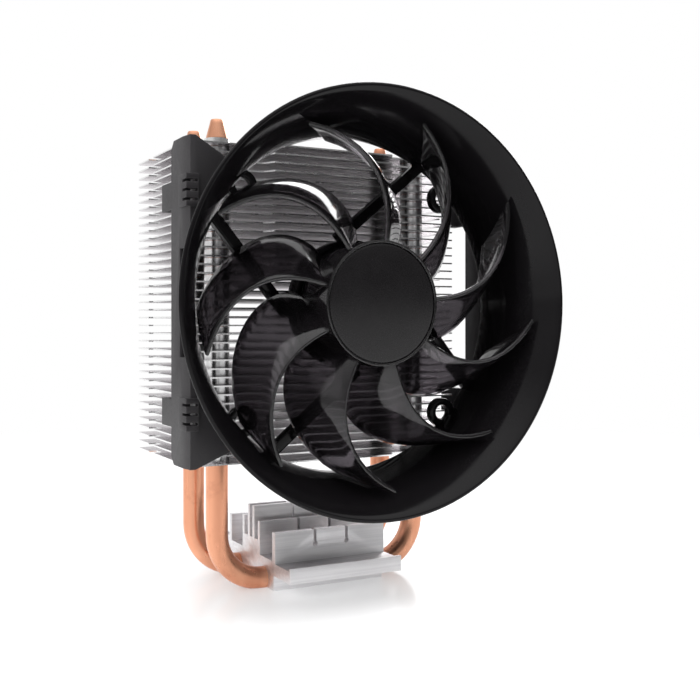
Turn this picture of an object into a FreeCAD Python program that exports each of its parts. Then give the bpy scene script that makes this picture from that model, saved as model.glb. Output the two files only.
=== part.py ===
# CPU tower cooler: two U-shaped heat pipes in an aluminium base, a stack of thin fins and a
# bell-mouthed fan that clips to the front of the fins. Millimetres, +Z up, -Y towards the fan,
# origin at the centre of the base's contact face.
import FreeCAD
import Part
import Sketcher
import math
import os

FIN_COUNT = 38
BLADE_COUNT = 9
BLADE_SECTIONS = 7
QUARTER_TURNS = 4
# how the blade edges bend back towards the hub
FRONT_SWEEP_POWER = 2.2
BACK_SWEEP_POWER = 1.8
BACK_SWEEP_SHARE = 0.8

SIZES = {
    # how far a cutting shape reaches past the surface that it cuts
    "overcut": 1.0,
    # base, an extrusion along X
    "base_length": 33.5,
    "block_half_depth": 16.0,
    "flange_half_depth": 26.8,
    "flange_underside": 4.1,
    "ledge_height": 7.4,
    "lip_height": 8.2,
    "lip_width": 0.9,
    "outer_fin_inner": 15.0,
    "outer_fin_wall": 2.0,
    "outer_fin_top": 15.7,
    "trough_floor": 7.9,
    "middle_fin_inner": 5.0,
    "middle_fin_wall": 1.4,
    "middle_fin_top": 17.1,
    "island_top": 11.8,
    "inner_fin_inner": 1.0,
    "inner_fin_wall": 1.4,
    "inner_fin_top": 20.8,
    "sawcut_half_spacing": 4.85,
    "sawcut_width": 0.9,
    "sawcut_floor": 11.9,
    "keyhole_radius": 0.75,
    # heat pipes
    "pipe_radius": 3.0,
    "pipe_axis_height": 2.4,
    "pipe_half_depth": 9.4,
    "pipe_leg_half_span": 30.5,
    "pipe_bend_radius": 13.0,
    "pipe_taper_start": 121.5,
    "pipe_top": 127.0,
    "pipe_tip_radius": 1.75,
    "pipe_tip_rounding": 0.4,
    # fins
    "fin_half_width": 40.6,
    "fin_front": -16.1,
    "fin_back": 30.0,
    "fin_nose_depth": 3.8,
    "fin_nose_half_width": 18.0,
    "fin_nose_slope": 2.0,
    "fin_wall": 0.4,
    "fin_pitch": 2.285,
    "fin_start": 34.85,
    "collar_wall": 0.4,
    "collar_height": 1.8,
    "notch_depth": 2.5,
    "notch_length": 4.4,
    "notch_from_back": 10.5,
    # side rails that clip on the fins
    "rail_offset": 5.2,
    "rail_wall": 1.5,
    "rail_front": -30.6,
    "rail_back": -17.6,
    "rail_bottom": 36.4,
    "rail_top": 118.2,
    "rail_corner_cut": 2.0,
    "rail_bevel_depth": 3.6,
    "rail_bevel_width": 0.6,
    "gusset_flat": 2.0,
    "gusset_reach": 16.0,
    "gusset_top_drop": 8.6,
    "gusset_bottom_drop": 6.0,
    "throat_relief": 13.5,
    "throat_gap": 0.6,
    "tab_back": -9.8,
    "tab_height": 7.0,
    "tab_upper_bottom": 101.1,
    "tab_lower_bottom": 45.8,
    "hook_length": 3.0,
    "hook_clearance": 0.3,
    "hook_gap": 0.4,
    "grip_raise": 0.6,
    "grip_length": 5.6,
    "grip_reach": 2.6,
    "grip_height": 8.0,
    "grip_upper_bottom": 100.7,
    "grip_lower_bottom": 45.9,
    "grip_slot_height": 0.7,
    "grip_slot_depth": 2.4,
    "grip_slot_pitch": 2.3,
    # bell and its throat
    "fan_height": 77.2,
    "throat_radius": 44.5,
    "throat_back": -25.0,
    "flare_start": -26.0,
    "seat_wall": 1.7,
    "seat_front": -31.5,
    "rim_front": -50.0,
    "flare_rise": 8.9,
    "rim_wall": 1.0,
    "rim_rounding": 0.6,
    "bell_wall": 1.2,
    # eyelets, struts and motor base
    "eyelet_half_spacing": 30.0,
    "eyelet_radius": 4.0,
    "eyelet_hole_radius": 2.0,
    "eyelet_wall": 2.0,
    "strut_offset": 15.4,
    "strut_width": 3.0,
    "strut_depth": 3.0,
    "strut_angle": 39.5,
    "motor_base_radius": 17.0,
    "motor_base_wall": 2.7,
    "motor_rim_wall": 1.2,
    "motor_rim_front": -30.4,
    "tube_wall": 1.3,
    "tube_front": -42.3,
    "shoulder_radius": 5.6,
    "wire_notch_width": 4.0,
    "wire_notch_reach": 2.0,
    # rotor
    "hub_radius": 15.9,
    "hub_wall": 1.0,
    "hub_front": -46.4,
    "hub_back": -31.2,
    "hub_rounding": 0.6,
    "cap_recess": 0.8,
    "cap_wall": 0.85,
    "cap_clearance": 0.1,
    "cap_edge": 0.5,
    "cap_front": -47.5,
    "boss_radius": 3.2,
    "boss_length": 1.7,
    "yoke_wall": 0.8,
    "yoke_skirt_wall": 0.9,
    "yoke_back": -32.0,
    "magnet_wall": 1.5,
    "magnet_length": 10.0,
    "magnet_gap": 0.4,
    "shaft_radius": 1.5,
    "shaft_socket": 0.6,
    "shaft_back": -27.2,
    "clip_groove_radius": 1.1,
    "clip_radius": 2.5,
    "clip_wall": 0.5,
    "clip_from_end": 0.6,
    # blades
    "tip_spread": 3.5,
    "tip_clearance": 0.7,
    "blade_root_inset": 0.2,
    "blade_front": -45.5,
    "blade_back": -31.7,
    "blade_wall": 1.2,
    "blade_tip_angle": -4.7,
    "front_sweep": 30.0,
    "back_sweep": 65.0,
    # bearing and stator
    "bearing_radius": 3.0,
    "bearing_clearance": 0.04,
    "sleeve_front": -41.4,
    "sleeve_back": -28.8,
    "oil_ring_wall": 0.6,
    "oil_ring_clearance": 0.09,
    "bearing_cap_wall": 1.2,
    "core_front": -41.0,
    "core_length": 5.4,
    "core_ring_wall": 1.9,
    "air_gap": 0.4,
    "pole_head_wall": 1.3,
    "pole_head_half_width": 6.6,
    "pole_width": 3.2,
    "insulator_wall": 0.7,
    "insulator_inset": 0.5,
    "coil_clearance": 0.15,
    "coil_wall": 1.9,
    "coil_rise": 1.5,
    "board_wall": 1.0,
    "board_radius": 15.0,
    "board_clearance": 0.1,
    "chip_length": 4.0,
    "chip_width": 3.0,
    "chip_height": 1.0,
    "chip_from_axis": 8.6,
    "sensor_length": 2.0,
    "capacitor_radius": 1.6,
    "capacitor_height": 1.4,
}

document = FreeCAD.newDocument("TowerCooler")
sheet = document.addObject("Spreadsheet::Sheet", "Sizes")
for row, (alias, value) in enumerate(SIZES.items(), start=1):
    sheet.set(f"A{row}", alias)
    sheet.set(f"B{row}", str(value))
    sheet.setAlias(f"B{row}", alias)
document.recompute()

sub_parts = []


def bound(text):
    """Turn the plain names in an expression into references to the sheet's cells."""
    words = text.replace("(", " ( ").replace(")", " ) ").split()
    joined_words = " ".join(f"Sizes.{word}" if word in SIZES else word for word in words)
    for function in ("sqrt", "sin", "cos"):
        joined_words = joined_words.replace(function + " (", function + "(")
    return joined_words


def size(name):
    return float(getattr(sheet, name))


def keep(item, label):
    """Mark an object as a finished sub-part, whose label names its file."""
    item.Label = label
    sub_parts.append(item)
    return item


def on_fan_axis(item):
    item.setExpression("Placement.Base.z", bound("fan_height"))
    return item


# ---- sketches and PartDesign bodies -------------------------------------------------------

def new_sketch(body, name, role, offset=None):
    sketch = body.newObject("Sketcher::SketchObject", name)
    plane = [item for item in body.Origin.OriginFeatures if item.Role == role][0]
    sketch.AttachmentSupport = [(plane, "")]
    sketch.MapMode = "FlatFace"
    if offset:
        sketch.setExpression("AttachmentOffset.Base.z", bound(offset))
    return sketch


def evaluate(sketch, text):
    return float(sketch.evalExpression(bound(text)))


def bind(sketch, kind, args, text):
    """Add a dimension to a sketch and bind it to an expression of the sheet."""
    index = sketch.addConstraint(Sketcher.Constraint(kind, *args, evaluate(sketch, text)))
    sketch.setExpression(f"Constraints[{index}]", bound(text))


def arc_between(start, end, radius, left):
    """The short arc from start to end, with its centre left or right of the way, drawn
    counter-clockwise. Also says whether it starts at start."""
    chord = end - start
    normal = FreeCAD.Vector(-chord.y, chord.x, 0).normalize()
    rise = math.sqrt(radius ** 2 - (chord.Length / 2) ** 2)
    centre = (start + end) * 0.5 + normal * (rise if left else -rise)
    first, last = (start, end) if left else (end, start)
    angles = [math.atan2(point.y - centre.y, point.x - centre.x) for point in (first, last)]
    circle = Part.Circle(centre, FreeCAD.Vector(0, 0, 1), radius)
    return Part.ArcOfCircle(circle, angles[0], angles[1]), left


def draw_outline(sketch, corners, closed=True):
    """Draw lines and arcs through corners. Each corner is (x, y) or, where an arc leaves it,
    (x, y, radius, "left" or "right")."""
    first = sketch.GeometryCount
    points = [FreeCAD.Vector(evaluate(sketch, c[0]), evaluate(sketch, c[1]), 0) for c in corners]
    count = len(corners) if closed else len(corners) - 1
    starts_forward = []
    for index in range(count):
        start = points[index]
        end = points[(index + 1) % len(points)]
        if len(corners[index]) > 2:
            radius = evaluate(sketch, corners[index][2])
            curve, forward = arc_between(start, end, radius, corners[index][3] == "left")
        else:
            curve = Part.LineSegment(start, end)
            forward = True
        sketch.addGeometry(curve, False)
        starts_forward.append(forward)
    for index in range(count if closed else count - 1):
        following = (index + 1) % count
        ends = (2 if starts_forward[index] else 1, 1 if starts_forward[following] else 2)
        sketch.addConstraint(
            Sketcher.Constraint("Coincident", first + index, ends[0], first + following, ends[1]))
    for index, corner in enumerate(corners):
        curve = min(index, count - 1)
        at_start = starts_forward[curve] if index < count else not starts_forward[curve]
        where = (-1, 1, first + curve, 1 if at_start else 2)
        bind(sketch, "DistanceX", where, corner[0])
        bind(sketch, "DistanceY", where, corner[1])
        if len(corner) > 2:
            bind(sketch, "Radius", (first + curve,), corner[2])


def draw_circle(sketch, across, up, radius):
    centre = FreeCAD.Vector(evaluate(sketch, across), evaluate(sketch, up), 0)
    circle = Part.Circle(centre, FreeCAD.Vector(0, 0, 1), evaluate(sketch, radius))
    index = sketch.addGeometry(circle, False)
    bind(sketch, "DistanceX", (-1, 1, index, 3), across)
    bind(sketch, "DistanceY", (-1, 1, index, 3), up)
    bind(sketch, "Radius", (index,), radius)


def mirrored(corners):
    """A half outline followed by its mirror image across the sketch's vertical axis."""
    return corners + [(f"0 - ( {corner[0]} )", corner[1]) for corner in reversed(corners)]


def turned(name, corners):
    """A body turned about the fan's axis: its corners are (place along Y, radius)."""
    body = on_fan_axis(document.addObject("PartDesign::Body", name))
    sketch = new_sketch(body, name + "Profile", "YZ_Plane")
    draw_outline(sketch, corners)
    revolution = body.newObject("PartDesign::Revolution", name + "Turned")
    revolution.Profile = sketch
    revolution.ReferenceAxis = (sketch, ["H_Axis"])
    revolution.Angle = 360
    return body


def ring(name, front, back, inner, outer):
    return turned(name, [(front, inner), (front, outer), (back, outer), (back, inner)])


# ---- Part primitives and booleans ---------------------------------------------------------

def block(name, x_range, y_range, z_range):
    """A box between two bound places on each axis."""
    box = document.addObject("Part::Box", name)
    sides = (("x", "Length", x_range), ("y", "Width", y_range), ("z", "Height", z_range))
    for axis, side, (low, high) in sides:
        box.setExpression(f"Placement.Base.{axis}", bound(low))
        box.setExpression(side, bound(f"( {high} ) - ( {low} )"))
    return box


def disc(name, front, back, radius, across="0", up="0"):
    """A cylinder along Y, placed from the fan's axis."""
    cylinder = document.addObject("Part::Cylinder", name)
    cylinder.Placement.Rotation = FreeCAD.Rotation(FreeCAD.Vector(1, 0, 0), -90)
    cylinder.setExpression("Radius", bound(radius))
    cylinder.setExpression("Height", bound(f"( {back} ) - ( {front} )"))
    cylinder.setExpression("Placement.Base.x", bound(across))
    cylinder.setExpression("Placement.Base.y", bound(front))
    cylinder.setExpression("Placement.Base.z", bound(f"fan_height + ( {up} )"))
    return cylinder


def joined(name, shapes):
    fusion = document.addObject("Part::MultiFuse", name)
    fusion.Shapes = shapes
    fusion.Refine = True
    return fusion


def cut(name, base, tool):
    result = document.addObject("Part::Cut", name)
    result.Base = base
    result.Tool = tool
    result.Refine = True
    return result


def common(name, shapes):
    result = document.addObject("Part::MultiCommon", name)
    result.Shapes = shapes
    return result


# ---- base ---------------------------------------------------------------------------------

def make_base():
    body = document.addObject("PartDesign::Body", "Base")
    sketch = new_sketch(body, "BaseProfile", "YZ_Plane")
    half = [
        ("block_half_depth", "0"),
        ("block_half_depth", "flange_underside"),
        ("flange_half_depth", "flange_underside"),
        ("flange_half_depth", "lip_height"),
        ("flange_half_depth - lip_width", "lip_height"),
        ("flange_half_depth - lip_width", "ledge_height"),
        ("outer_fin_inner + outer_fin_wall", "ledge_height"),
        ("outer_fin_inner + outer_fin_wall", "outer_fin_top"),
        ("outer_fin_inner", "outer_fin_top"),
        ("outer_fin_inner", "trough_floor"),
        ("middle_fin_inner + middle_fin_wall", "trough_floor"),
        ("middle_fin_inner + middle_fin_wall", "middle_fin_top"),
        ("middle_fin_inner", "middle_fin_top"),
        ("middle_fin_inner", "island_top"),
        ("inner_fin_inner + inner_fin_wall", "island_top"),
        ("inner_fin_inner + inner_fin_wall", "inner_fin_top"),
        ("inner_fin_inner", "inner_fin_top"),
        ("inner_fin_inner", "island_top"),
    ]
    draw_outline(sketch, mirrored(half))
    pad = body.newObject("PartDesign::Pad", "BaseExtrusion")
    pad.Profile = sketch
    pad.SideType = "Symmetric"
    pad.setExpression("Length", bound("base_length"))

    grooves = new_sketch(body, "PipeGrooves", "YZ_Plane")
    for side in ("pipe_half_depth", "0 - pipe_half_depth"):
        draw_circle(grooves, side, "pipe_axis_height", "pipe_radius")
    groove_cut = body.newObject("PartDesign::Pocket", "PipeGrooveCut")
    groove_cut.Profile = grooves
    groove_cut.SideType = "Symmetric"
    groove_cut.Type = "ThroughAll"

    saw = new_sketch(body, "SawCuts", "XZ_Plane")
    for side in ("sawcut_half_spacing", "0 - sawcut_half_spacing"):
        left = f"{side} - sawcut_width / 2"
        right = f"{side} + sawcut_width / 2"
        top = "inner_fin_top + overcut"
        draw_outline(saw, [(left, "sawcut_floor"), (right, "sawcut_floor"), (right, top), (left, top)])
    saw_cut = body.newObject("PartDesign::Pocket", "SawCut")
    saw_cut.Profile = saw
    saw_cut.SideType = "Symmetric"
    saw_cut.Type = "ThroughAll"

    holes = new_sketch(body, "Keyholes", "XZ_Plane")
    for side in ("sawcut_half_spacing", "0 - sawcut_half_spacing"):
        draw_circle(holes, side, "sawcut_floor", "keyhole_radius")
    hole_cut = body.newObject("PartDesign::Pocket", "KeyholeCut")
    hole_cut.Profile = holes
    hole_cut.SideType = "Symmetric"
    hole_cut.Type = "ThroughAll"
    return keep(body, "base_block")


# ---- heat pipes ---------------------------------------------------------------------------

def make_pipe_tip(name):
    """The crimped end of a pipe: a taper with a rounded top."""
    body = document.addObject("PartDesign::Body", name + "Tip")
    sketch = new_sketch(body, name + "TipProfile", "XZ_Plane")
    draw_outline(sketch, [
        ("0", "pipe_taper_start"),
        ("pipe_radius", "pipe_taper_start"),
        ("pipe_tip_radius", "pipe_top - pipe_tip_rounding", "pipe_tip_rounding", "left"),
        ("pipe_tip_radius - pipe_tip_rounding", "pipe_top"),
        ("0", "pipe_top"),
    ])
    revolution = body.newObject("PartDesign::Revolution", name + "TipTurned")
    revolution.Profile = sketch
    revolution.ReferenceAxis = (sketch, ["V_Axis"])
    revolution.Angle = 360
    return body


def make_heat_pipe(label, depth):
    """A U-shaped pipe that lies flush with the contact face and ends in crimped tips."""
    body = document.addObject("PartDesign::Body", label + "Tube")
    body.setExpression("Placement.Base.y", bound(depth))
    path = new_sketch(body, label + "Path", "XZ_Plane")
    corner = "pipe_leg_half_span"
    inner = "pipe_leg_half_span - pipe_bend_radius"
    bend_top = "pipe_axis_height + pipe_bend_radius"
    draw_outline(path, [
        (f"0 - {corner}", "pipe_taper_start"),
        (f"0 - {corner}", bend_top, "pipe_bend_radius", "left"),
        (f"0 - ( {inner} )", "pipe_axis_height"),
        (inner, "pipe_axis_height", "pipe_bend_radius", "left"),
        (corner, bend_top),
        (corner, "pipe_taper_start"),
    ], closed=False)
    section = new_sketch(body, label + "Section", "XY_Plane", "pipe_taper_start")
    draw_circle(section, f"0 - {corner}", "0", "pipe_radius")
    sweep = body.newObject("PartDesign::AdditivePipe", label + "Sweep")
    sweep.Profile = section
    sweep.Spine = (path, [f"Edge{number}" for number in range(1, 6)])
    sweep.Mode = "Frenet"

    tips = []
    for side, sign in (("Left", "0 - "), ("Right", "")):
        tip = make_pipe_tip(label + side)
        tip.setExpression("Placement.Base.x", bound(f"{sign}pipe_leg_half_span"))
        tip.setExpression("Placement.Base.y", bound(depth))
        tips.append(tip)
    whole = joined(label + "Whole", [body] + tips)
    below = block(label + "Below", ("0 - pipe_leg_half_span - pipe_radius - overcut",
                                    "pipe_leg_half_span + pipe_radius + overcut"),
                  (f"{depth} - pipe_radius - overcut", f"{depth} + pipe_radius + overcut"),
                  ("0 - pipe_radius - overcut", "0"))
    return keep(cut(label + "Flush", whole, below), label)


# ---- fins ---------------------------------------------------------------------------------

def make_fin(index):
    """One fin: a wide plate with a nose in the middle of its front edge, hook notches in its
    sides and four collars pressed on the pipes."""
    body = document.addObject("PartDesign::Body", f"Fin{index:02d}")
    body.setExpression("Placement.Base.z", bound(f"fin_start + {index - 1} * fin_pitch"))
    sketch = new_sketch(body, f"Fin{index:02d}Outline", "XY_Plane")
    front_notch_back = "tab_back + hook_gap"
    rear_notch_back = "fin_back - notch_from_back"
    floor = "fin_half_width - notch_depth"
    nose = "fin_front - fin_nose_depth"
    right = [
        ("fin_nose_half_width", nose),
        ("fin_nose_half_width + fin_nose_slope", "fin_front"),
        ("fin_half_width", "fin_front"),
        ("fin_half_width", f"{front_notch_back} - notch_length"),
        (floor, f"{front_notch_back} - notch_length"),
        (floor, front_notch_back),
        ("fin_half_width", front_notch_back),
        ("fin_half_width", f"{rear_notch_back} - notch_length"),
        (floor, f"{rear_notch_back} - notch_length"),
        (floor, rear_notch_back),
        ("fin_half_width", rear_notch_back),
        ("fin_half_width", "fin_back"),
    ]
    draw_outline(sketch, mirrored(right))
    legs = [(side, depth) for side in ("pipe_leg_half_span", "0 - pipe_leg_half_span")
            for depth in ("pipe_half_depth", "0 - pipe_half_depth")]
    for side, depth in legs:
        draw_circle(sketch, side, depth, "pipe_radius")
    plate = body.newObject("PartDesign::Pad", f"Fin{index:02d}Plate")
    plate.Profile = sketch
    plate.setExpression("Length", bound("fin_wall"))
    collars = new_sketch(body, f"Fin{index:02d}Collars", "XY_Plane")
    for side, depth in legs:
        draw_circle(collars, side, depth, "pipe_radius + collar_wall")
        draw_circle(collars, side, depth, "pipe_radius")
    collar = body.newObject("PartDesign::Pad", f"Fin{index:02d}Collar")
    collar.Profile = collars
    collar.setExpression("Length", bound("fin_wall + collar_height"))
    return keep(body, f"fin_{index:02d}")


# ---- side rails ---------------------------------------------------------------------------

def make_left_rail():
    """The left side rail: a wall with front gussets, hook tabs and ribbed grip blocks."""
    outer = "0 - fin_half_width - rail_offset"
    inner = "0 - fin_half_width - rail_offset + rail_wall"
    body = document.addObject("PartDesign::Body", "RailWall")
    side = new_sketch(body, "RailSide", "YZ_Plane", outer)
    draw_outline(side, [
        ("rail_front", "rail_bottom"),
        ("rail_back - rail_corner_cut", "rail_bottom"),
        ("rail_back", "rail_bottom + rail_corner_cut"),
        ("rail_back", "rail_top - rail_corner_cut"),
        ("rail_back - rail_corner_cut", "rail_top"),
        ("rail_front", "rail_top"),
    ])
    wall = body.newObject("PartDesign::Pad", "RailWallPad")
    wall.Profile = side
    wall.setExpression("Length", bound("rail_wall"))
    face = new_sketch(body, "RailFace", "XZ_Plane", "0 - rail_front")
    draw_outline(face, [
        (outer, "rail_bottom"),
        (f"{outer} + gusset_flat", "rail_bottom"),
        (f"{outer} + gusset_reach", "rail_bottom + gusset_bottom_drop"),
        (f"{outer} + gusset_reach", "rail_top - gusset_top_drop"),
        (f"{outer} + gusset_flat", "rail_top"),
        (outer, "rail_top"),
    ])
    gusset = body.newObject("PartDesign::Pad", "RailGussetPad")
    gusset.Profile = face
    gusset.Reversed = True
    gusset.setExpression("Length", bound("rail_wall"))
    bevel = new_sketch(body, "RailBevel", "XY_Plane")
    draw_outline(bevel, [
        (outer, "rail_front + rail_bevel_depth"),
        (f"{outer} - overcut", "rail_front + rail_bevel_depth"),
        (f"{outer} - overcut", "rail_front - overcut"),
        (f"{outer} + rail_bevel_width", "rail_front - overcut"),
        (f"{outer} + rail_bevel_width", "rail_front"),
    ])
    bevel_cut = body.newObject("PartDesign::Pocket", "RailBevelCut")
    bevel_cut.Profile = bevel
    bevel_cut.SideType = "Symmetric"
    bevel_cut.Type = "ThroughAll"

    solids = [body]
    slots = []
    hook_tip = "0 - fin_half_width - hook_clearance"
    places = (("Upper", "tab_upper_bottom", "grip_upper_bottom"),
              ("Lower", "tab_lower_bottom", "grip_lower_bottom"))
    for where, tab_bottom, grip_bottom in places:
        tab_rise = (tab_bottom, f"{tab_bottom} + tab_height")
        solids.append(block(f"{where}Tab", (outer, inner), ("rail_back - rail_wall", "tab_back"),
                            tab_rise))
        solids.append(block(f"{where}Hook", (outer, hook_tip), ("tab_back - hook_length", "tab_back"),
                            tab_rise))
        grip_rise = (grip_bottom, f"{grip_bottom} + grip_height")
        solids.append(block(f"{where}GripSide", (f"{outer} - grip_raise", inner),
                            ("rail_front - grip_raise", "rail_front + grip_length"), grip_rise))
        solids.append(block(f"{where}GripFace", (f"{outer} - grip_raise", f"{outer} + grip_reach"),
                            ("rail_front - grip_raise", "rail_front + rail_wall"), grip_rise))
        for step in (-1, 0, 1):
            middle = f"{grip_bottom} + grip_height / 2 + {step} * grip_slot_pitch"
            slots.append(block(
                f"{where}Slot{step + 2}", (f"{outer} - grip_raise - overcut", f"{outer} + grip_slot_depth"),
                ("rail_front - grip_raise - overcut", "rail_front + grip_slot_depth"),
                (f"{middle} - grip_slot_height / 2", f"{middle} + grip_slot_height / 2")))
    relief = block("ThroatRelief", (f"{outer} - overcut", "0"), ("rim_front", "throat_back + throat_gap"),
                   ("fan_height - throat_relief", "fan_height + throat_relief"))
    seat = disc("ThroatSeat", "rim_front", "throat_back + throat_gap", "throat_radius + seat_wall")
    rail = cut("RailTrimmed", joined("RailSolids", solids), joined("RailCuts", slots + [relief, seat]))
    return keep(rail, "bracket_left")


def make_right_rail(left):
    mirror = document.addObject("Part::Mirroring", "RightRail")
    mirror.Source = left
    mirror.Normal = (1, 0, 0)
    return keep(mirror, "bracket_right")


# ---- fan frame ----------------------------------------------------------------------------

def make_shroud():
    """Bell, throat, eyelets, tangential struts and motor base, moulded in one piece."""
    flare = "( ( flare_start - rim_front ) ^ 2 + flare_rise ^ 2 )"
    flare_radius = f"{flare} / ( 2 * flare_rise )"
    outside = turned("BellOutside", [
        ("throat_back", "0"),
        ("throat_back", "throat_radius + seat_wall"),
        ("seat_front", "throat_radius + seat_wall", f"{flare_radius} - bell_wall", "right"),
        ("rim_front + rim_rounding", "throat_radius + flare_rise + rim_wall", "rim_rounding", "left"),
        ("rim_front", "throat_radius + flare_rise + rim_wall - rim_rounding"),
        ("rim_front", "0"),
    ])
    inside = turned("BellInside", [
        ("throat_back + overcut", "0"),
        ("throat_back + overcut", "throat_radius"),
        ("flare_start", "throat_radius", flare_radius, "right"),
        ("rim_front", "throat_radius + flare_rise"),
        ("rim_front - overcut", "throat_radius + flare_rise"),
        ("rim_front - overcut", "0"),
    ])
    bell = cut("Bell", outside, inside)

    struts = []
    eyelets = []
    holes = []
    middle_of_wall = "( throat_radius + seat_wall / 2 )"
    run = f"sqrt ( ( {middle_of_wall} ) ^ 2 - strut_offset ^ 2 )"
    for turn in range(QUARTER_TURNS):
        strut = document.addObject("Part::Box", f"Strut{turn}")
        strut.setExpression("Length", bound(run))
        strut.setExpression("Width", bound("strut_depth"))
        strut.setExpression("Height", bound("strut_width"))
        angle = f"( strut_angle + {90 * turn} ) * 1deg"
        foot = "( strut_offset - strut_width / 2 )"
        strut.setExpression("Placement.Base.x", bound(f"0 - {foot} * sin ( {angle} )"))
        strut.setExpression("Placement.Base.y", bound("throat_back - strut_depth"))
        strut.setExpression("Placement.Base.z", bound(f"fan_height + {foot} * cos ( {angle} )"))
        strut.setExpression("Placement.Rotation.Axis.x", "0")
        strut.setExpression("Placement.Rotation.Axis.y", "-1")
        strut.setExpression("Placement.Rotation.Axis.z", "0")
        strut.setExpression("Placement.Rotation.Angle", bound(f"strut_angle * 1deg + {90 * turn} * 1deg"))
        struts.append(strut)
        across = "eyelet_half_spacing" if turn in (0, 3) else "0 - eyelet_half_spacing"
        up = "eyelet_half_spacing" if turn < 2 else "0 - eyelet_half_spacing"
        front = "throat_back - eyelet_wall"
        eyelets.append(disc(f"Eyelet{turn}", front, "throat_back", "eyelet_radius", across, up))
        holes.append(disc(f"EyeletHole{turn}", f"{front} - overcut", "throat_back + overcut",
                          "eyelet_hole_radius", across, up))

    base_front = "throat_back - motor_base_wall"
    board_seat = "motor_rim_front + board_clearance + board_wall"
    tube_outer = "bearing_radius + tube_wall"
    motor = turned("MotorBase", [
        ("throat_back", "bearing_radius"),
        ("throat_back", "motor_base_radius"),
        ("motor_rim_front", "motor_base_radius"),
        ("motor_rim_front", "motor_base_radius - motor_rim_wall"),
        (base_front, "motor_base_radius - motor_rim_wall"),
        (base_front, "shoulder_radius"),
        (board_seat, "shoulder_radius"),
        (board_seat, tube_outer),
        ("tube_front", tube_outer),
        ("tube_front", "bearing_radius"),
    ])
    motor_bottom = "fan_height - motor_base_radius"
    notch = block("WireNotch", ("0 - wire_notch_width / 2", "wire_notch_width / 2"),
                  ("motor_rim_front - overcut", base_front),
                  (f"{motor_bottom} - overcut", f"{motor_bottom} + wire_notch_reach"))
    clear_bore = disc("MotorWell", "motor_rim_front - overcut", base_front,
                      "motor_base_radius - motor_rim_wall")
    trimmed = cut("StrutsTrimmed", joined("Struts", struts), clear_bore)
    solid = joined("ShroudSolids", [bell, trimmed, motor] + eyelets)
    return keep(cut("Shroud", solid, joined("ShroudCuts", holes + [notch])), "fan_shroud")


# ---- rotor --------------------------------------------------------------------------------

def blade_point(span, share):
    """A point in the middle of a blade's wall: span runs from hub to tip, share from front edge to
    back edge. Both edges sweep back from the tip, the rear one further than the front one."""
    front_sweep = size("front_sweep") * (1 - span ** FRONT_SWEEP_POWER)
    back_sweep = size("back_sweep") * (1 - BACK_SWEEP_SHARE * span ** BACK_SWEEP_POWER)
    reach = size("throat_radius") + size("tip_spread") - share * (size("tip_spread") + size("tip_clearance"))
    root = size("hub_radius") - size("blade_root_inset")
    radius = root + span * (reach - root)
    angle = math.radians(size("blade_tip_angle") - front_sweep - share * (back_sweep - front_sweep))
    along = size("blade_front") + share * (size("blade_back") - size("blade_front"))
    return FreeCAD.Vector(radius * math.cos(angle), along, radius * math.sin(angle))


def blade_sections():
    """Closed four-sided sections of one blade, from its root to its tip, each flat so that the
    loft closes. The root's ends lie just under the hub's surface and its middle inside the wall."""
    wires = []
    for step in range(BLADE_SECTIONS):
        span = step / (BLADE_SECTIONS - 1)
        front, back = blade_point(span, 0), blade_point(span, 1)
        middle = (front + back) * 0.5
        outward = FreeCAD.Vector(middle.x, 0, middle.z)
        half = (back - front).cross(outward).normalize() * (size("blade_wall") / 2)
        wires.append(Part.makePolygon([front + half, back + half, back - half, front - half, front + half]))
    return wires


def make_impeller():
    seat = "hub_front + cap_recess"
    inside = f"{seat} + hub_wall"
    skirt_inner = "hub_radius - hub_wall"
    hub = turned("Hub", [
        (seat, "0"),
        (seat, "hub_radius - cap_wall + cap_clearance"),
        ("hub_front", "hub_radius - cap_wall + cap_clearance"),
        ("hub_front", "hub_radius - hub_rounding", "hub_rounding", "right"),
        ("hub_front + hub_rounding", "hub_radius"),
        ("hub_back", "hub_radius"),
        ("hub_back", skirt_inner),
        (inside, skirt_inner),
        (inside, "boss_radius"),
        (f"{inside} + boss_length", "boss_radius"),
        (f"{inside} + boss_length", "shaft_radius"),
        (f"{inside} - shaft_socket", "shaft_radius"),
        (f"{inside} - shaft_socket", "0"),
    ])
    blade = Part.makeLoft(blade_sections(), True, False)
    blades = []
    for index in range(BLADE_COUNT):
        feature = document.addObject("Part::Feature", f"Blade{index + 1}")
        feature.Shape = blade
        turn = FreeCAD.Rotation(FreeCAD.Vector(0, -1, 0), 360 * index / BLADE_COUNT)
        feature.Placement = FreeCAD.Placement(FreeCAD.Vector(0, 0, size("fan_height")), turn)
        blades.append(feature)
    keep(joined("Impeller", [hub] + blades), "impeller")
    cap_edge_front = f"{seat} - cap_edge"
    rise = f"( {cap_edge_front} - cap_front )"
    dome_radius = f"( ( hub_radius - cap_wall ) ^ 2 + {rise} ^ 2 ) / ( 2 * {rise} )"
    keep(turned("HubCap", [
        (seat, "0"),
        (seat, "hub_radius - cap_wall"),
        (cap_edge_front, "hub_radius - cap_wall", dome_radius, "left"),
        ("cap_front", "0"),
    ]), "hub_cap")
    return inside, skirt_inner


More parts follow.
